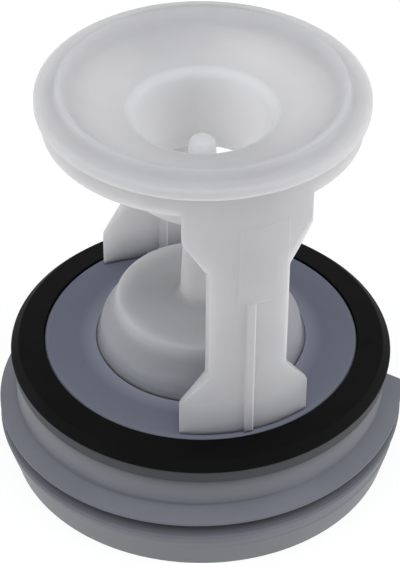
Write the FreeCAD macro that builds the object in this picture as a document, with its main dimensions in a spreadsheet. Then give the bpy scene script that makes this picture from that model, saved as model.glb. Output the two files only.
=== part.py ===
"""Washer pump filter: a screw cap, its rubber seal and the funnel insert that catches lint.

The part stands on the cap's skirt. The origin is the middle of the skirt's lower rim, +Z is the
axis of the thread and of the funnel, and the insert's two legs stand on the -Y and +Y sides.
"""
import FreeCAD, Part
import os
import Sketcher

SIZES = {
    # Cap, outside: conical skirt, core, neck with a cove, flange under the seal
    "core_radius": 31.0,
    "skirt_step": 1.0,
    "skirt_flare": 1.3,
    "skirt_height": 5.2,
    "skirt_edge_round": 0.6,
    "skirt_ledge_rise": 1.2,
    "thread_zone_height": 6.2,
    "neck_inset": 0.6,
    "cove_height": 2.6,
    "neck_height": 2.3,
    "flange_overhang": 0.3,
    "flange_thickness": 1.9,
    "seal_seat_width": 5.3,
    "floor_edge_round": 0.7,
    # Cap, thread: one helical ridge of two lips with a channel between them
    "thread_depth": 2.9,
    "thread_lead": 4.5,
    "thread_turns": 0.951,
    "thread_base_clearance": 0.95,
    "thread_top_rise": 2.0,
    "thread_bury": 1.0,
    "upper_lip": 0.35,
    "channel_depth": 2.55,
    "channel_mouth": 2.6,
    "channel_upper_slope": 0.9,
    "channel_root": 0.5,
    "lower_lip_bevel": 0.3,
    "lower_lip_height": 3.3,
    "lower_lip_taper": 0.95,
    # Cap, hollow underside: wall, floor, grip bar across the hollow, spigot under the insert's dome
    "cap_wall": 2.4,
    "cap_draft": 0.4,
    "floor_thickness": 2.5,
    "grip_width": 5.0,
    "grip_setback": 0.8,
    "grip_edge_round": 1.5,
    "spigot_height": 2.3,
    "spigot_wall": 2.0,
    "spigot_clearance": 0.15,
    # Rubber seal, as thick as the floor stands above its seat
    "seal_thickness": 2.3,
    "seal_bore_clearance": 0.1,
    "seal_flat_width": 4.2,
    "seal_top_fall": 0.35,
    "seal_overhang": 0.45,
    "seal_lip_rise": 0.5,
    "seal_edge_round": 0.3,
    # Insert, funnel: flat rim with a raised crest, collar, dished bowl, throat tube
    "insert_length": 50.8,
    "rim_overhang": 1.0,
    "rim_land": 3.1,
    "rim_thickness": 1.6,
    "rim_edge_round": 0.6,
    "crest_rise": 2.2,
    "crest_draft": 0.5,
    "crest_edge_round": 0.5,
    "crest_foot_round": 0.9,
    "crest_slope_width": 1.8,
    "crest_slope_drop": 2.6,
    "collar_height": 3.7,
    "collar_wall": 2.2,
    "bowl_edge_round": 4.0,
    "bowl_outer_width": 4.6,
    "bowl_outer_drop": 2.0,
    "bowl_middle_round": 16.0,
    "bowl_inner_width": 5.2,
    "bowl_inner_drop": 1.4,
    "throat_edge_round": 1.6,
    "throat_length": 13.7,
    "throat_taper": 0.85,
    "funnel_wall": 1.5,
    # Insert, legs: flat inside and curved outside, wide at foot and shoulder, narrow at the waist
    "foot_inset": 1.0,
    "leg_thickness": 2.9,
    "foot_half_width": 10.5,
    "foot_height": 6.5,
    "foot_taper": 5.3,
    "waist_half_width": 6.3,
    "shoulder_half_width": 10.2,
    "shoulder_height": 5.5,
    "shoulder_taper": 6.0,
    "leg_corner_round": 1.2,
    "pad_drop": 17.2,
    "pad_length": 14.2,
    "pad_depth": 0.3,
    "pad_top_depth": 0.06,
    "pad_reach": 2.1,
    "pad_setback": 0.3,
    "outer_rib_width": 1.4,
    "outer_rib_depth": 0.45,
    "inner_rib_width": 1.4,
    "inner_rib_depth": 0.6,
    "inner_rib_drop": 5.0,
    # Insert, dome with the spike, and the low arms from the dome to the feet
    "dome_radius": 16.85,
    "dome_foot_flare": 0.6,
    "dome_foot_height": 1.0,
    "dome_wall": 1.8,
    "dome_side_height": 2.4,
    "dome_side_draft": 0.4,
    "dome_side_round": 3.5,
    "dome_shoulder_inset": 1.85,
    "dome_shoulder_rise": 2.65,
    "dome_top_inset": 0.75,
    "dome_top_rise": 2.55,
    "dome_edge_round": 0.8,
    "spike_base_radius": 3.5,
    "spike_tip_radius": 2.1,
    "spike_tip_drop": 5.1,
    "spike_base_round": 1.2,
    "spike_tip_round": 1.2,
    "arm_width": 6.0,
    "arm_height": 1.2,
}

FULL_TURN = 360.0
TOLERANCE = 1e-4


class Size:
    """A length that carries its present value and its spreadsheet expression together."""

    def __init__(self, value, text):
        self.value = value
        self.text = text

    def __add__(self, other):
        return Size(self.value + other.value, f"({self.text} + {other.text})")

    def __sub__(self, other):
        return Size(self.value - other.value, f"({self.text} - {other.text})")

    def __neg__(self):
        return Size(-self.value, f"(-{self.text})")

    def half(self):
        return Size(self.value / 2, f"({self.text} / 2)")


ZERO = Size(0.0, "0")


def size(name):
    return Size(SIZES[name], f"Sizes.{name}")


doc = FreeCAD.newDocument("WasherPumpFilter")
sheet = doc.addObject("Spreadsheet::Sheet", "Sizes")
for row, (name, number) in enumerate(SIZES.items(), start=1):
    sheet.set(f"A{row}", name)
    sheet.set(f"B{row}", str(number))
    sheet.setAlias(f"B{row}", name)
doc.recompute()


def new_body(label):
    body = doc.addObject("PartDesign::Body", label)
    body.Label = label
    body.Placement = FreeCAD.Placement()
    return body


def hold(sketch, kind, axis, edge, length):
    """Holds an edge's first corner at a distance from the sketch's origin, or on its axis."""
    if length is ZERO:
        sketch.addConstraint(Sketcher.Constraint("PointOnObject", edge, 1, axis))
        return
    ends = (-1, 1, edge, 1) if length.value > 0 else (edge, 1, -1, 1)
    distance = length if length.value > 0 else -length
    number = sketch.addConstraint(Sketcher.Constraint(kind, *ends, distance.value))
    sketch.setExpression(f"Constraints[{number}]", distance.text)


def draw_outline(sketch, corners):
    """One closed outline of straight edges through corners (across, up)."""
    first = sketch.GeometryCount
    points = [FreeCAD.Vector(across.value, up.value, 0) for across, up in corners]
    for start, end in zip(points, points[1:] + points[:1]):
        sketch.addGeometry(Part.LineSegment(start, end))
    for index, (across, up) in enumerate(corners):
        edge = first + index
        previous = first + (index - 1) % len(corners)
        sketch.addConstraint(Sketcher.Constraint("Coincident", previous, 2, edge, 1))
        hold(sketch, "DistanceX", -2, edge, across)
        hold(sketch, "DistanceY", -1, edge, up)


def new_sketch(body, name, plane, outlines, height=None):
    sketch = body.newObject("Sketcher::SketchObject", name)
    support = [item for item in body.Origin.OriginFeatures if item.Role == plane][0]
    sketch.AttachmentSupport = (support, [""])
    sketch.MapMode = "FlatFace"
    if height is not None:
        sketch.setExpression("AttachmentOffset.Base.z", height.text)
    for corners in outlines:
        draw_outline(sketch, corners)
    doc.recompute()
    return sketch


def turn(body, kind, name, corners):
    """Turns a half section about the axis, as a Revolution or a Groove."""
    sketch = new_sketch(body, name + "Section", "XZ_Plane", [corners])
    feature = body.newObject("PartDesign::" + kind, name)
    feature.Profile = sketch
    feature.ReferenceAxis = (sketch, ["V_Axis"])
    feature.Angle = FULL_TURN
    doc.recompute()
    return feature


def slab(body, kind, name, plane, outlines, length, height=None, both_ways=False):
    """Draws outlines out to a length, as a Pad or a Pocket."""
    sketch = new_sketch(body, name + "Outline", plane, outlines, height)
    feature = body.newObject("PartDesign::" + kind, name)
    feature.Profile = sketch
    feature.SideType = "Symmetric" if both_ways else "One side"
    feature.setExpression("Length", length.text)
    doc.recompute()
    return feature


def ring_edges(feature, radius, height):
    """Names of the circular edges of a radius about the axis at a height."""
    names = []
    for number, edge in enumerate(feature.Shape.Edges, start=1):
        curve = edge.Curve
        if not isinstance(curve, Part.Circle):
            continue
        if abs(curve.Radius - radius.value) < TOLERANCE and abs(curve.Center.z - height.value) < TOLERANCE:
            names.append(f"Edge{number}")
    return names


def straight_edges(feature, direction, places, first_axis, second_axis):
    """Names of the straight edges along a direction that pass through places in the other two axes."""
    names = []
    for number, edge in enumerate(feature.Shape.Edges, start=1):
        curve = edge.Curve
        if not isinstance(curve, Part.Line) or abs(abs(curve.Direction.dot(direction)) - 1) > TOLERANCE:
            continue
        middle = edge.CenterOfMass
        for first, second in places:
            first_gap = abs(abs(getattr(middle, first_axis)) - first.value)
            if first_gap < TOLERANCE and abs(getattr(middle, second_axis) - second.value) < TOLERANCE:
                names.append(f"Edge{number}")
    return names


def round_off(body, name, feature, edges, radius):
    if not edges:
        raise RuntimeError(f"{name}: no edge to round")
    fillet = body.newObject("PartDesign::Fillet", name)
    fillet.Base = (feature, edges)
    fillet.setExpression("Radius", radius.text)
    doc.recompute()
    return fillet


# Levels and radii that pieces share
skirt_foot_radius = size("core_radius") + size("skirt_step")
skirt_top_radius = skirt_foot_radius + size("skirt_flare")
core_foot = size("skirt_height") + size("skirt_ledge_rise")
neck_foot = core_foot + size("thread_zone_height")
neck_radius = size("core_radius") - size("neck_inset")
cove_top = neck_foot + size("cove_height")
flange_bottom = cove_top + size("neck_height")
flange_radius = size("core_radius") + size("flange_overhang")
seal_seat = flange_bottom + size("flange_thickness")
floor_level = seal_seat + size("seal_thickness")
floor_radius = flange_radius - size("seal_seat_width")
hollow_radius = neck_radius - size("cap_wall")
hollow_mouth_radius = hollow_radius + size("cap_draft")
ceiling = floor_level - size("floor_thickness")
seat_ceiling = seal_seat - size("cap_wall")
floor_hollow_radius = floor_radius - size("cap_wall")
dome_side_radius = size("dome_radius") - size("dome_side_draft")
dome_hollow_radius = dome_side_radius - size("dome_wall")
spigot_radius = dome_hollow_radius - size("spigot_clearance")
spigot_bore_radius = spigot_radius - size("spigot_wall")
spigot_top = floor_level + size("spigot_height")

# Screw cap: half section with skirt, neck, flange, raised floor and the spigot ring on the floor
cap = new_body("screw_cap")
cap_shell = turn(cap, "Revolution", "CapShell", [
    (ZERO, ceiling),
    (floor_hollow_radius, ceiling),
    (floor_hollow_radius, seat_ceiling),
    (hollow_radius, seat_ceiling),
    (hollow_mouth_radius, ZERO),
    (skirt_foot_radius, ZERO),
    (skirt_top_radius, size("skirt_height")),
    (size("core_radius"), core_foot),
    (size("core_radius"), neck_foot),
    (neck_radius, cove_top),
    (neck_radius, flange_bottom),
    (flange_radius, flange_bottom),
    (flange_radius, seal_seat),
    (floor_radius, seal_seat),
    (floor_radius, floor_level),
    (spigot_radius, floor_level),
    (spigot_radius, spigot_top),
    (spigot_bore_radius, spigot_top),
    (spigot_bore_radius, floor_level),
    (ZERO, floor_level),
])
skirt_edge = ring_edges(cap_shell, skirt_top_radius, size("skirt_height"))
cap_skirt = round_off(cap, "SkirtEdge", cap_shell, skirt_edge, size("skirt_edge_round"))
floor_edge = ring_edges(cap_skirt, floor_radius, floor_level)
cap_floor = round_off(cap, "FloorEdge", cap_skirt, floor_edge, size("floor_edge_round"))

# Grip bar across the hollow along X, from just inside the rim up to the stepped ceiling
grip_reach = hollow_mouth_radius + size("cap_wall").half()
grip_bar = slab(cap, "Pad", "GripBar", "XZ_Plane", [[
    (-grip_reach, size("grip_setback")),
    (grip_reach, size("grip_setback")),
    (grip_reach, seat_ceiling),
    (floor_hollow_radius, seat_ceiling),
    (floor_hollow_radius, ceiling),
    (-floor_hollow_radius, ceiling),
    (-floor_hollow_radius, seat_ceiling),
    (-grip_reach, seat_ceiling),
]], size("grip_width"), both_ways=True)
grip_places = [(size("grip_width").half(), size("grip_setback"))]
grip_edges = straight_edges(grip_bar, FreeCAD.Vector(1, 0, 0), grip_places, "y", "z")
grip_round = round_off(cap, "GripEdges", grip_bar, grip_edges, size("grip_edge_round"))

# Thread: the ridge's section stands at the low end, on +X, and climbs counter-clockwise
crest_radius = size("core_radius") + size("thread_depth")
channel_radius = crest_radius - size("channel_depth")
buried_radius = size("core_radius") - size("thread_bury")
lower_lip_foot = size("thread_base_clearance")
lower_lip_corner = lower_lip_foot + size("lower_lip_height")
lower_lip_top = lower_lip_corner + size("lower_lip_bevel")
upper_lip_bottom = lower_lip_top + size("channel_mouth")
crest_top = upper_lip_bottom + size("upper_lip")
channel_top = upper_lip_bottom - size("channel_upper_slope")
channel_bottom = channel_top - size("channel_root")
thread_section = new_sketch(cap, "ThreadSection", "XZ_Plane", [[
    (buried_radius, crest_top + size("thread_top_rise")),
    (crest_radius, crest_top),
    (crest_radius, upper_lip_bottom),
    (channel_radius, channel_top),
    (channel_radius, channel_bottom),
    (crest_radius - size("lower_lip_bevel"), lower_lip_top),
    (crest_radius, lower_lip_corner),
    (crest_radius - size("lower_lip_taper"), lower_lip_foot),
    (buried_radius, lower_lip_foot),
]])
thread = cap.newObject("PartDesign::AdditiveHelix", "Thread")
thread.Profile = thread_section
thread.ReferenceAxis = (thread_section, ["V_Axis"])
thread.Mode = "pitch-turns-angle"
thread.setExpression("Pitch", size("thread_lead").text)
thread.setExpression("Turns", size("thread_turns").text)
thread.LeftHanded = False
thread.Reversed = False
doc.recompute()

# Rubber seal: land on top that falls a little, then slopes to a lip proud of the flange
seal = new_body("seal_ring")
seal_bore_radius = floor_radius + size("seal_bore_clearance")
seal_flat_radius = seal_bore_radius + size("seal_flat_width")
seal_lip_radius = flange_radius + size("seal_overhang")
seal_lip_level = seal_seat + size("seal_lip_rise")
seal_flat_level = floor_level - size("seal_top_fall")
seal_section = turn(seal, "Revolution", "SealSection", [
    (seal_bore_radius, seal_seat),
    (flange_radius, seal_seat),
    (seal_lip_radius, seal_lip_level),
    (seal_flat_radius, seal_flat_level),
    (seal_bore_radius, floor_level),
])
seal_edges = ring_edges(seal_section, seal_lip_radius, seal_lip_level)
seal_edges += ring_edges(seal_section, seal_flat_radius, seal_flat_level)
seal_round = round_off(seal, "SealEdges", seal_section, seal_edges, size("seal_edge_round"))

# Insert, funnel: flat rim and raised crest over a collar, dished bowl with the throat's hole
insert = new_body("filter_insert")
leg_radius = floor_radius - size("foot_inset")
leg_inside = leg_radius - size("leg_thickness")
leg_middle = leg_radius - size("leg_thickness").half()
collar_inner_radius = leg_radius - size("collar_wall")
rim_radius = leg_radius + size("rim_overhang")
crest_foot_radius = rim_radius - size("rim_land")
crest_edge_radius = crest_foot_radius - size("crest_draft")
bowl_radius = crest_edge_radius - size("crest_slope_width")
bowl_middle_radius = bowl_radius - size("bowl_outer_width")
throat_radius = bowl_middle_radius - size("bowl_inner_width")
throat_end_radius = throat_radius - size("throat_taper")
tube_top_radius = throat_radius + size("funnel_wall")
crest_level = floor_level + size("insert_length")
rim_top = crest_level - size("crest_rise")
rim_bottom = rim_top - size("rim_thickness")
collar_bottom = rim_bottom - size("collar_height")
bowl_level = crest_level - size("crest_slope_drop")
bowl_middle_level = bowl_level - size("bowl_outer_drop")
throat_level = bowl_middle_level - size("bowl_inner_drop")
throat_end = throat_level - size("throat_length")
tube_top = throat_level - size("funnel_wall")
funnel = turn(insert, "Revolution", "Funnel", [
    (crest_foot_radius, rim_top),
    (rim_radius, rim_top),
    (rim_radius, rim_bottom),
    (leg_radius, rim_bottom),
    (leg_radius, collar_bottom),
    (collar_inner_radius, collar_bottom),
    (collar_inner_radius, bowl_level - size("funnel_wall")),
    (bowl_middle_radius, bowl_middle_level - size("funnel_wall")),
    (tube_top_radius, tube_top),
    (throat_radius, tube_top),
    (throat_radius, throat_level),
    (bowl_middle_radius, bowl_middle_level),
    (bowl_radius, bowl_level),
    (crest_edge_radius, crest_level),
])

# Insert, legs: one slab cut to the legs' outline, then parted in the middle and turned down outside
slab_depth = leg_radius + leg_radius + size("leg_thickness")
foot_top = floor_level + size("foot_height")
waist_bottom = foot_top + size("foot_taper")
shoulder_bottom = collar_bottom - size("shoulder_height")
waist_top = shoulder_bottom - size("shoulder_taper")
leg_slab = slab(insert, "Pad", "LegSlab", "XZ_Plane", [[
    (-size("foot_half_width"), floor_level),
    (size("foot_half_width"), floor_level),
    (size("foot_half_width"), foot_top),
    (size("waist_half_width"), waist_bottom),
    (size("waist_half_width"), waist_top),
    (size("shoulder_half_width"), shoulder_bottom),
    (size("shoulder_half_width"), collar_bottom),
    (-size("shoulder_half_width"), collar_bottom),
    (-size("shoulder_half_width"), shoulder_bottom),
    (-size("waist_half_width"), waist_top),
    (-size("waist_half_width"), waist_bottom),
    (-size("foot_half_width"), foot_top),
]], slab_depth, both_ways=True)
leg_corners = [
    (size("foot_half_width"), foot_top),
    (size("waist_half_width"), waist_bottom),
    (size("waist_half_width"), waist_top),
    (size("shoulder_half_width"), shoulder_bottom),
]
leg_edges = straight_edges(leg_slab, FreeCAD.Vector(0, 1, 0), leg_corners, "x", "z")
leg_rounds = round_off(insert, "LegCorners", leg_slab, leg_edges, size("leg_corner_round"))
gap_half_width = size("foot_half_width") + size("shoulder_half_width")
leg_gap = slab(insert, "Pocket", "LegGap", "XZ_Plane", [[
    (-gap_half_width, floor_level),
    (gap_half_width, floor_level),
    (gap_half_width, collar_bottom),
    (-gap_half_width, collar_bottom),
]], leg_inside + leg_inside, both_ways=True)
slab_corner_radius = slab_depth
leg_outside = turn(insert, "Groove", "LegOutside", [
    (leg_radius, floor_level),
    (slab_corner_radius, floor_level),
    (slab_corner_radius, collar_bottom),
    (leg_radius, collar_bottom),
])

# Insert, low pad on one side of each leg's waist, thickest at its lower edge
pad_foot = collar_bottom - size("pad_drop")
pad_top = pad_foot + size("pad_length")
pad_radius = leg_radius + size("pad_depth")
pad_top_radius = leg_radius + size("pad_top_depth")
pad_far_side = size("waist_half_width") - size("pad_setback")
pad_blank_radius = leg_radius + size("leg_thickness")
leg_pads = slab(insert, "Pad", "LegPads", "XY_Plane", [
    [
        (-size("pad_reach"), -pad_blank_radius),
        (pad_far_side, -pad_blank_radius),
        (pad_far_side, -leg_middle),
        (-size("pad_reach"), -leg_middle),
    ],
    [
        (-pad_far_side, leg_middle),
        (size("pad_reach"), leg_middle),
        (size("pad_reach"), pad_blank_radius),
        (-pad_far_side, pad_blank_radius),
    ],
], size("pad_length"), pad_foot)
pad_outside = turn(insert, "Groove", "PadOutside", [
    (pad_radius, pad_foot),
    (slab_corner_radius, pad_foot),
    (slab_corner_radius, pad_top),
    (pad_top_radius, pad_top),
])

# Insert, ribs down the middle of each leg, outside up to the pad and inside nearly to the top
outer_rib_half = size("outer_rib_width").half()
outer_rib_radius = leg_radius + size("outer_rib_depth")
outer_rib_length = pad_foot - floor_level
outer_ribs = slab(insert, "Pad", "OuterRibs", "XY_Plane", [
    [
        (-outer_rib_half, -outer_rib_radius),
        (outer_rib_half, -outer_rib_radius),
        (outer_rib_half, -leg_middle),
        (-outer_rib_half, -leg_middle),
    ],
    [
        (-outer_rib_half, leg_middle),
        (outer_rib_half, leg_middle),
        (outer_rib_half, outer_rib_radius),
        (-outer_rib_half, outer_rib_radius),
    ],
], outer_rib_length, floor_level)
inner_rib_half = size("inner_rib_width").half()
inner_rib_inside = leg_inside - size("inner_rib_depth")
inner_rib_length = collar_bottom - size("inner_rib_drop") - floor_level
inner_ribs = slab(insert, "Pad", "InnerRibs", "XY_Plane", [
    [
        (-inner_rib_half, -leg_middle),
        (inner_rib_half, -leg_middle),
        (inner_rib_half, -inner_rib_inside),
        (-inner_rib_half, -inner_rib_inside),
    ],
    [
        (-inner_rib_half, inner_rib_inside),
        (inner_rib_half, inner_rib_inside),
        (inner_rib_half, leg_middle),
        (-inner_rib_half, leg_middle),
    ],
], inner_rib_length, floor_level)

# Insert, low arms from the feet to the dome's wall
arm_half = size("arm_width").half()
arm_start_radius = size("dome_radius") - size("dome_wall").half()
arms = slab(insert, "Pad", "Arms", "XY_Plane", [
    [
        (-arm_half, -leg_middle),
        (arm_half, -leg_middle),
        (arm_half, -arm_start_radius),
        (-arm_half, -arm_start_radius),
    ],
    [
        (-arm_half, arm_start_radius),
        (arm_half, arm_start_radius),
        (arm_half, leg_middle),
        (-arm_half, leg_middle),
    ],
], size("arm_height"), floor_level)

# Insert, hollow dome over the cap's spigot, with the solid spike that rises into the throat
dome_foot_radius = size("dome_radius") + size("dome_foot_flare")
dome_foot_top = floor_level + size("dome_foot_height")
dome_side_top = dome_foot_top + size("dome_side_height")
dome_shoulder_radius = dome_side_radius - size("dome_shoulder_inset")
dome_shoulder_top = dome_side_top + size("dome_shoulder_rise")
dome_top_radius = dome_shoulder_radius - size("dome_top_inset")
dome_top = dome_shoulder_top + size("dome_top_rise")
dome_ceiling = dome_top - size("dome_wall")
spike_tip = throat_level - size("spike_tip_drop")
dome = turn(insert, "Revolution", "DomeAndSpike", [
    (ZERO, dome_ceiling),
    (dome_top_radius - size("dome_wall"), dome_ceiling),
    (dome_shoulder_radius - size("dome_wall"), dome_shoulder_top),
    (dome_hollow_radius, dome_side_top),
    (dome_hollow_radius, floor_level),
    (dome_foot_radius, floor_level),
    (size("dome_radius"), dome_foot_top),
    (dome_side_radius, dome_side_top),
    (dome_shoulder_radius, dome_shoulder_top),
    (dome_top_radius, dome_top),
    (size("spike_base_radius"), dome_top),
    (size("spike_tip_radius"), spike_tip),
    (ZERO, spike_tip),
])
throat_tube = turn(insert, "Revolution", "ThroatTube", [
    (throat_radius, throat_level),
    (throat_end_radius, throat_end),
    (throat_end_radius + size("funnel_wall"), throat_end),
    (tube_top_radius, tube_top),
    (tube_top_radius, throat_level),
])

# Insert, moulded edges
RINGS = [
    ("RimEdge", rim_radius, rim_top, "rim_edge_round"),
    ("CrestFoot", crest_foot_radius, rim_top, "crest_foot_round"),
    ("CrestEdge", crest_edge_radius, crest_level, "crest_edge_round"),
    ("BowlEdge", bowl_radius, bowl_level, "bowl_edge_round"),
    ("BowlMiddle", bowl_middle_radius, bowl_middle_level, "bowl_middle_round"),
    ("ThroatEdge", throat_radius, throat_level, "throat_edge_round"),
    ("DomeEdge", dome_top_radius, dome_top, "dome_edge_round"),
    ("DomeShoulder", dome_shoulder_radius, dome_shoulder_top, "dome_side_round"),
    ("DomeSide", dome_side_radius, dome_side_top, "dome_side_round"),
    ("SpikeFoot", size("spike_base_radius"), dome_top, "spike_base_round"),
    ("SpikeTip", size("spike_tip_radius"), spike_tip, "spike_tip_round"),
]
rounded = throat_tube
for name, radius, height, edge_round in RINGS:
    rounded = round_off(insert, name, rounded, ring_edges(rounded, radius, height), size(edge_round))

for item in doc.Objects:
    if "Invalid" in item.State or "Error" in item.State:
        raise RuntimeError(f"{item.Label} failed: {item.State}")

os.makedirs("parts", exist_ok=True)
for body in (cap, seal, insert):
    shape = body.Shape
    if shape.isNull() or not shape.isValid() or len(shape.Solids) != 1:
        raise RuntimeError(f"{body.Label} is not one valid solid")
    shape.exportStep(f"parts/{body.Label}.step")
    print(f"{body.Label}: {shape.Volume:.1f} mm3")
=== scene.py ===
"""Washer pump filter standing on its cap: materials, soft studio light and the camera."""
import math

import bpy
from mathutils import Matrix, Vector

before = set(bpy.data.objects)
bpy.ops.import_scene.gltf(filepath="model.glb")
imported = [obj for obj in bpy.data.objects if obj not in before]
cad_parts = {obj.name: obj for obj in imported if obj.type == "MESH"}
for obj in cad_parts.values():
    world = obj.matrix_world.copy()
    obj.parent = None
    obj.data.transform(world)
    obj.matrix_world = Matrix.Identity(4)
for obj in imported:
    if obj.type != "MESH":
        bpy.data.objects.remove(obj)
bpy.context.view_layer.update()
scene = bpy.context.scene
scene.view_settings.view_transform = "Standard"

MM = 0.001
EDGE_ROUND = 0.35 * MM
FLOOR_LEVEL = 21.7 * MM
DOME_FOOT = 17.45 * MM


class Graph:
    """A material's or the world's node tree, with one call for each node."""

    def __init__(self, owner):
        owner.use_nodes = True
        self.tree = owner.node_tree
        self.tree.nodes.clear()

    def add(self, kind, **settings):
        node = self.tree.nodes.new("ShaderNode" + kind)
        for name, value in settings.items():
            setattr(node, name, value)
        return node

    def link(self, source, target):
        self.tree.links.new(source, target)

    def noise(self, scale, detail, place):
        node = self.add("TexNoise")
        node.inputs["Scale"].default_value = scale
        node.inputs["Detail"].default_value = detail
        self.link(place, node.inputs["Vector"])
        return node.outputs["Fac"]

    def spread(self, value, low, high, start=0.3, end=0.7):
        """Maps a value between a start and an end to a range of numbers, and holds it beyond them."""
        node = self.add("MapRange")
        node.inputs["From Min"].default_value = start
        node.inputs["From Max"].default_value = end
        node.inputs["To Min"].default_value = low
        node.inputs["To Max"].default_value = high
        self.link(value, node.inputs["Value"])
        return node.outputs["Result"]

    def tones(self, value, first, second):
        """Mixes two close colours by a noise."""
        node = self.add("Mix", data_type="RGBA")
        node.inputs["A"].default_value = (*first, 1)
        node.inputs["B"].default_value = (*second, 1)
        self.link(value, node.inputs["Factor"])
        return node.outputs["Result"]

    def fade(self, share, colour, last):
        """Fades a colour into a last one by a mask."""
        node = self.add("Mix", data_type="RGBA")
        node.inputs["B"].default_value = (*last, 1)
        self.link(colour, node.inputs["A"])
        self.link(share, node.inputs["Factor"])
        return node.outputs["Result"]

    def product(self, first, second):
        node = self.add("Math", operation="MULTIPLY")
        self.link(first, node.inputs[0])
        self.link(second, node.inputs[1])
        return node.outputs["Value"]

    def bump(self, height, strength, distance, below=None):
        node = self.add("Bump")
        node.inputs["Strength"].default_value = strength
        node.inputs["Distance"].default_value = distance
        self.link(height, node.inputs["Height"])
        if below is not None:
            self.link(below, node.inputs["Normal"])
        return node.outputs["Normal"]


# Masks: the share of a tone at each point of a piece, from its place or from its own form; most of these
# tones are painted light or shade
def level(graph, place):
    """Height above the table."""
    axes = graph.add("SeparateXYZ")
    graph.link(place, axes.inputs["Vector"])
    return axes.outputs["Z"]


def radius(graph, place):
    """Distance from the upright axis of the part."""
    flat = graph.add("VectorMath", operation="MULTIPLY")
    flat.inputs[1].default_value = (1, 1, 0)
    graph.link(place, flat.inputs[0])
    length = graph.add("VectorMath", operation="LENGTH")
    graph.link(flat.outputs["Vector"], length.inputs[0])
    return length.outputs["Value"]


def foot_painted_shade_mask(graph, place):
    """Painted shade: one at the insert's feet, which are painted darker and bluer towards the grey cap,
    fading to zero above them.
    """
    return graph.spread(level(graph, place), 1, 0, FLOOR_LEVEL, FLOOR_LEVEL + 6.3 * MM)


def dome_painted_shade_mask(graph, place):
    """Painted shade: one on the side of the insert's dome, which is painted darker under the funnel, fading
    to zero towards its top and the legs.
    """
    inside = graph.spread(radius(graph, place), 1, 0, DOME_FOOT + 0.15 * MM, DOME_FOOT + 0.95 * MM)
    low = graph.spread(level(graph, place), 1, 0, FLOOR_LEVEL + 3.3 * MM, FLOOR_LEVEL + 7.3 * MM)
    return graph.product(inside, low)


def throat_painted_light_mask(graph, place):
    """Painted light: one in the thin throat tube of the funnel, which is painted lighter for light that
    shines through its wall, fading to zero around and below it.
    """
    near = graph.spread(radius(graph, place), 1, 0, 10.8 * MM, 12.2 * MM)
    high = graph.spread(level(graph, place), 0, 1, 44 * MM, 56 * MM)
    return graph.product(near, high)


def openness(graph, reach):
    """Share of the sky that a piece's own faces within a reach leave open."""
    shade = graph.add("AmbientOcclusion", samples=8, only_local=True)
    shade.inputs["Distance"].default_value = reach
    return shade.outputs["AO"]


def recess_painted_shade_mask(graph, place):
    """Painted shade: one deep in a piece's own grooves, which are painted darker, fading to zero on its open
    faces.
    """
    return graph.spread(openness(graph, 6 * MM), 1, 0, 0.3, 0.8)


def crease_painted_shade_mask(graph, place):
    """Painted shade: one in a piece's own inner corners, which are painted darker, fading to zero close by.
    """
    return graph.spread(openness(graph, 2 * MM), 1, 0, 0.5, 0.85)


def outside_mask(graph, place):
    """One on the outside of the cap, zero in its hollow."""
    return graph.spread(radius(graph, place), 0, 1, 29 * MM, 30 * MM)


def flange_painted_shadow_mask(graph, place):
    """Painted shadow: one on the cap's flange under the seal, where the seal's shadow is painted, fading to
    zero down the neck.
    """
    high = graph.spread(level(graph, place), 0, 1, 15.8 * MM, 17.6 * MM)
    return graph.product(outside_mask(graph, place), high)


def cove_painted_light_mask(graph, place):
    """Painted light: one on the hollow of the cap's neck, which is painted lighter, fading to zero above and
    below it.
    """
    over_foot = graph.spread(level(graph, place), 0, 1, 12.8 * MM, 13.8 * MM)
    under_flange = graph.spread(level(graph, place), 1, 0, 15 * MM, 16.6 * MM)
    return graph.product(outside_mask(graph, place), graph.product(over_foot, under_flange))


def skirt_painted_light_mask(graph, place):
    """Painted light: one on the cap's skirt, which is painted lighter and less blue for light from the table
    below, fading to zero under the thread.
    """
    low = graph.spread(level(graph, place), 1, 0, 5.4 * MM, 6.4 * MM)
    return graph.product(outside_mask(graph, place), low)


def floor_mask(graph, place):
    """One on the cap's floor, zero below it."""
    return graph.spread(level(graph, place), 0, 1, FLOOR_LEVEL - 0.7 * MM, FLOOR_LEVEL - 0.1 * MM)


def dome_foot_painted_light_mask(graph, place):
    """Painted light: one on the floor at the foot of the white dome, where a pool of light is painted, fading
    to zero around it.
    """
    near = graph.spread(radius(graph, place), 1, 0, DOME_FOOT - 0.05 * MM, DOME_FOOT + 2.95 * MM)
    return graph.product(near, floor_mask(graph, place))


def moulded(name, tones, roughness, grain, sockets, fades=()):
    """Moulded plastic or rubber: cloudy colour with painted light and shade faded in by masks, uneven gloss,
    fine grain over soft sink marks.
    """
    material = bpy.data.materials.new(name)
    graph = Graph(material)
    place = graph.add("TexCoord").outputs["Object"]
    surface = graph.add("BsdfPrincipled")
    output = graph.add("OutputMaterial")
    cloud = graph.spread(graph.noise(90, 3, place), 0, 1)
    colour = graph.tones(cloud, *tones)
    for mask, last in fades:
        colour = graph.fade(mask(graph, place), colour, last)
    graph.link(colour, surface.inputs["Base Color"])
    gloss = graph.spread(graph.noise(240, 4, place), *roughness)
    graph.link(gloss, surface.inputs["Roughness"])
    edge = graph.add("Bevel", samples=6)
    edge.inputs["Radius"].default_value = EDGE_ROUND
    sink = graph.bump(graph.noise(70, 1, place), 0.12, 0.4 * MM, edge.outputs["Normal"])
    fine = graph.bump(graph.noise(grain["scale"], 2, place), grain["strength"], grain["height"], sink)
    graph.link(fine, surface.inputs["Normal"])
    for socket, value in sockets.items():
        surface.inputs[socket].default_value = value
    graph.link(surface.outputs["BSDF"], output.inputs["Surface"])
    return material


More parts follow.
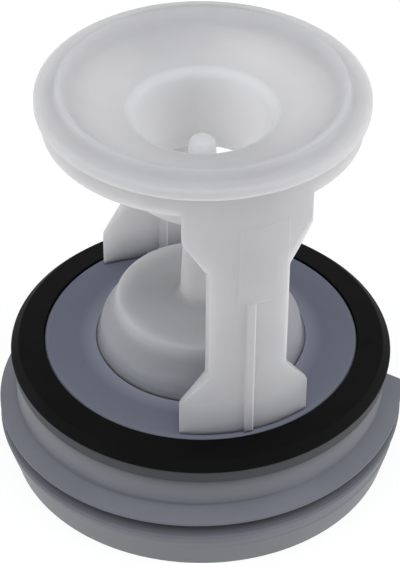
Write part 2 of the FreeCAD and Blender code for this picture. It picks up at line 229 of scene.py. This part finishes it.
WHITE_PLASTIC = moulded(
    "natural_polypropylene",
    tones=((0.582, 0.572, 0.580), (0.622, 0.612, 0.620)),
    roughness=(0.46, 0.56),
    grain={"scale": 2600, "strength": 0.10, "height": 0.04 * MM},
    sockets={
        "IOR": 1.49,
        "Specular IOR Level": 0.1,
        "Subsurface Weight": 1.0,
        "Subsurface Scale": 12.0 * MM,
        "Subsurface Radius": (1.0, 0.98, 0.96),
    },
    fades=(
        # painted light: the throat tube is painted lighter
        (throat_painted_light_mask, (0.900, 0.888, 0.894)),
        # painted shade: the feet are painted darker towards the cap
        (foot_painted_shade_mask, (0.400, 0.402, 0.435)),
        # painted shade: the dome's side is painted darker
        (dome_painted_shade_mask, (0.395, 0.400, 0.438)),
    ),
)
GREY_PLASTIC = moulded(
    "grey_polypropylene",
    tones=((0.203, 0.210, 0.238), (0.230, 0.237, 0.265)),
    roughness=(0.48, 0.58),
    grain={"scale": 2200, "strength": 0.16, "height": 0.05 * MM},
    sockets={"IOR": 1.49, "Specular IOR Level": 0.1},
    fades=(
        (floor_mask, (0.188, 0.200, 0.250)),
        # painted light: a lighter ring on the floor round the dome
        (dome_foot_painted_light_mask, (0.310, 0.325, 0.385)),
        # painted light: the neck's hollow is painted lighter
        (cove_painted_light_mask, (0.258, 0.262, 0.284)),
        # painted light: the skirt is painted lighter
        (skirt_painted_light_mask, (0.252, 0.256, 0.274)),
        # painted shade: darker in the inner corners
        (crease_painted_shade_mask, (0.120, 0.123, 0.138)),
        # painted shade: darker deep in the grooves
        (recess_painted_shade_mask, (0.070, 0.072, 0.078)),
        # painted shadow: the flange under the seal is painted dark
        (flange_painted_shadow_mask, (0.088, 0.090, 0.100)),
    ),
)
BLACK_RUBBER = moulded(
    "black_rubber",
    tones=((0.0050, 0.0050, 0.0054), (0.0066, 0.0066, 0.0070)),
    roughness=(0.50, 0.60),
    grain={"scale": 3200, "strength": 0.14, "height": 0.04 * MM},
    sockets={"IOR": 1.50, "Specular IOR Level": 0.04},
)
for node, material in (
    ("filter_insert", WHITE_PLASTIC),
    ("screw_cap", GREY_PLASTIC),
    ("seal_ring", BLACK_RUBBER),
):
    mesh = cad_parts[node].data
    mesh.materials.clear()
    mesh.materials.append(material)

# Table: pale, pure white to the camera except for a faint shadow where the cap stands
TABLE_HALF = 1.5
TABLE_LEVEL = -0.02 * MM
table_mesh = bpy.data.meshes.new("table")
corners = [(x * TABLE_HALF, y * TABLE_HALF, TABLE_LEVEL) for x, y in ((-1, -1), (1, -1), (1, 1), (-1, 1))]
table_mesh.from_pydata(corners, [], [(0, 1, 2, 3)])
table = bpy.data.objects.new("table", table_mesh)
scene.collection.objects.link(table)


def seen_directly(graph):
    """One for rays from the camera, or by way of a mirror or glass; zero for light that bounces."""
    path = graph.add("LightPath")
    total = path.outputs["Is Camera Ray"]
    for name in ("Is Glossy Ray", "Is Transmission Ray"):
        most = graph.add("Math", operation="MAXIMUM")
        graph.link(total, most.inputs[0])
        graph.link(path.outputs[name], most.inputs[1])
        total = most.outputs["Value"]
    return total


def white_table():
    """Clear to light and from below; white with a faint shadow to a camera above."""
    material = bpy.data.materials.new("table_white")
    graph = Graph(material)
    faint = graph.add("BsdfDiffuse")
    faint.inputs["Color"].default_value = (0.22, 0.22, 0.22, 1)
    glow = graph.add("Emission")
    glow.inputs["Strength"].default_value = 0.86
    shown = graph.add("AddShader")
    graph.link(faint.outputs["BSDF"], shown.inputs[0])
    graph.link(glow.outputs["Emission"], shown.inputs[1])
    from_above = graph.spread(graph.add("NewGeometry").outputs["Backfacing"], 1, 0, 0, 1)
    pick = graph.add("MixShader")
    graph.link(graph.product(graph.add("LightPath").outputs["Is Camera Ray"], from_above), pick.inputs["Fac"])
    graph.link(graph.add("BsdfTransparent").outputs["BSDF"], pick.inputs[1])
    graph.link(shown.outputs["Shader"], pick.inputs[2])
    output = graph.add("OutputMaterial")
    graph.link(pick.outputs["Shader"], output.inputs["Surface"])
    return material


table_mesh.materials.append(white_table())

# Camera: a long lens, looking down on the filter a little to the left of its front leg
CAMERA_TURN = math.radians(-17.626)
CAMERA_RISE = math.radians(39.09)
CAMERA_ROLL = math.radians(0.506)
CAMERA_DISTANCE = 367.29 * MM
CAMERA_AIM_HEIGHT = 32.62 * MM
CAMERA_AIM_SIDE = -0.2 * MM
SENSOR_HEIGHT = 36.0
LENS = 143.63


def studio_axes(turn):
    """Unit vectors to the right of and towards a viewer who stands at a turn around the part."""
    right = Vector((math.cos(turn), math.sin(turn), 0))
    front = Vector((math.sin(turn), -math.cos(turn), 0))
    return right, front


def facing(place, target, roll=0.0):
    """Transform of a camera or lamp at a place that looks at a target."""
    turn = (target - place).to_track_quat("-Z", "Y").to_matrix().to_4x4()
    return Matrix.Translation(place) @ turn @ Matrix.Rotation(roll, 4, "Z")


right, front = studio_axes(CAMERA_TURN)
aim = right * CAMERA_AIM_SIDE + Vector((0, 0, CAMERA_AIM_HEIGHT))
eye = aim + (front * math.cos(CAMERA_RISE) + Vector((0, 0, math.sin(CAMERA_RISE)))) * CAMERA_DISTANCE
lens = bpy.data.cameras.new("camera")
lens.sensor_fit = "VERTICAL"
lens.sensor_height = SENSOR_HEIGHT
lens.lens = LENS
lens.clip_start = 0.01
camera = bpy.data.objects.new("camera", lens)
scene.collection.objects.link(camera)
camera.matrix_world = facing(eye, aim, CAMERA_ROLL)
scene.camera = camera

# World: white to the camera; as a light, a soft tent above the front and a light table below the back
TENT_TILT = math.radians(35)
TABLE_TILT = math.radians(15)
TENT_LIGHT = 1.0
TENT_COLOUR = (0.94, 0.965, 1.0)
TABLE_LIGHT = 1.2
BELT_LIGHT = 0.05
world = bpy.data.worlds.new("studio")
scene.world = world
sky = Graph(world)


def background(strength, colour=(1, 1, 1)):
    node = sky.add("Background")
    node.inputs["Color"].default_value = (*colour, 1)
    node.inputs["Strength"].default_value = strength
    return node.outputs["Background"]


def blend(share, first, second):
    node = sky.add("MixShader")
    sky.link(share, node.inputs["Fac"])
    sky.link(first, node.inputs[1])
    sky.link(second, node.inputs[2])
    return node.outputs["Shader"]


def along(axis):
    """How far a direction of light points along an axis."""
    node = sky.add("VectorMath", operation="DOT_PRODUCT")
    sky.link(sky.add("TexCoord").outputs["Generated"], node.inputs[0])
    node.inputs[1].default_value = axis
    return node.outputs["Value"]


def leaning(tilt):
    """Unit vector that leans from upright towards the viewer."""
    return front * math.sin(tilt) + Vector((0, 0, math.cos(tilt)))


above = sky.spread(along(leaning(TENT_TILT)), 0, 1, 0.2, 0.53)
below = sky.spread(along(leaning(TABLE_TILT)), 1, 0, -0.6, -0.25)
level_front = sky.spread(along(front), 0, 0.5, 0.75, 0.95)
belt_and_table = blend(below, background(BELT_LIGHT), background(TABLE_LIGHT))
around = blend(above, belt_and_table, background(TENT_LIGHT, TENT_COLOUR))
light = blend(level_front, around, background(BELT_LIGHT))
seen = blend(seen_directly(sky), light, background(1.0))
sky.link(seen, sky.add("OutputWorld").inputs["Surface"])


# Softboxes: one at each side, low over the table
SOFTBOX_SIZE = 0.6
SOFTBOX_REACH = 0.65
SOFTBOX_HEIGHT = 0.06
SOFTBOX_AIM_HEIGHT = 0.02


def softbox(name, side, power):
    lamp = bpy.data.lights.new(name, "AREA")
    lamp.size = SOFTBOX_SIZE
    lamp.energy = power
    holder = bpy.data.objects.new(name, lamp)
    scene.collection.objects.link(holder)
    place = side * SOFTBOX_REACH + Vector((0, 0, SOFTBOX_HEIGHT))
    holder.matrix_world = facing(place, Vector((0, 0, SOFTBOX_AIM_HEIGHT)))


softbox("softbox_left", -right, 1.3)
softbox("softbox_right", right, 1.6)
